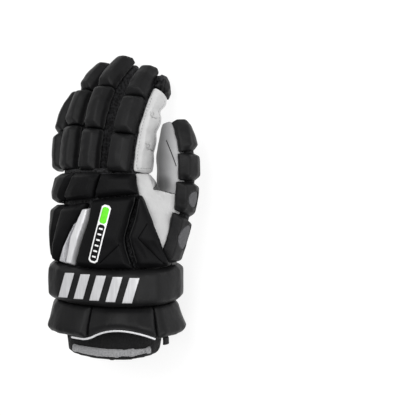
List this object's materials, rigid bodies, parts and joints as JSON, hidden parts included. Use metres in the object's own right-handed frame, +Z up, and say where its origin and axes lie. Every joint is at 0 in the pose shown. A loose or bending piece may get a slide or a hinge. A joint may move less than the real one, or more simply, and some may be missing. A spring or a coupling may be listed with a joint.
{
  "type": "lacrosse glove",
  "caption": "Left-hand padded lacrosse glove lying palm down, with segmented finger and thumb rolls, a vented back of the hand, a suede palm and a flared cuff.",
  "frame": {"origin": "under the middle of the whole glove, on the surface that it lies on", "axes": "+Y to the fingertips, +X to the thumb, +Z up out of the back of the hand"},
  "size_m": [0.1948, 0.3268, 0.1038],
  "materials": {
    "black_leather": "matt coated leather over foam",
    "mesh_lining": "woven mesh",
    "grey_suede": "napped suede",
    "silver_trim": "satin",
    "insert_fabric": "knitted",
    "fleece": "brushed pile"
  },
  "bodies": {
    "root": {"back_lining": "mesh_lining", "cuff_piping": "silver_trim", "cuff_roll_back": "black_leather", "cuff_roll_little": "black_leather", "cuff_roll_thumb": "black_leather", "index_palm": "grey_suede", "index_roll_1": "black_leather", "index_roll_2": "black_leather", "index_roll_3": "black_leather", "index_side_panel": "grey_suede", "index_stall": "mesh_lining", "index_tip_cap": "black_leather", "knuckle_index": "black_leather", "knuckle_little": "black_leather", "knuckle_middle": "black_leather", "liner_patch": "fleece", "little_palm": "grey_suede", "little_roll_1": "black_leather", "little_roll_2": "black_leather", "little_stall": "mesh_lining", "little_strip": "black_leather", "main_plate": "black_leather", "middle_palm": "grey_suede", "middle_roll_1": "black_leather", "middle_roll_2": "black_leather", "middle_roll_3": "black_leather", "middle_stall": "mesh_lining", "palm_leather": "grey_suede", "pull_tab": "black_leather", "ring_palm": "grey_suede", "ring_roll_1": "black_leather", "ring_roll_2": "black_leather", "ring_roll_3": "black_leather", "ring_stall": "mesh_lining", "ring_strip": "black_leather", "strap_roll": "black_leather", "thumb_insert_base": "insert_fabric", "thumb_insert_root": "insert_fabric", "thumb_leather": "grey_suede", "thumb_plate": "black_leather", "thumb_roll_base": "black_leather", "thumb_roll_middle": "black_leather", "thumb_roll_root": "black_leather", "thumb_roll_tip": "black_leather", "vent_bed": "silver_trim", "vent_ridge": "silver_trim", "wrist_liner": "mesh_lining"}
  },
  "joints": []
}
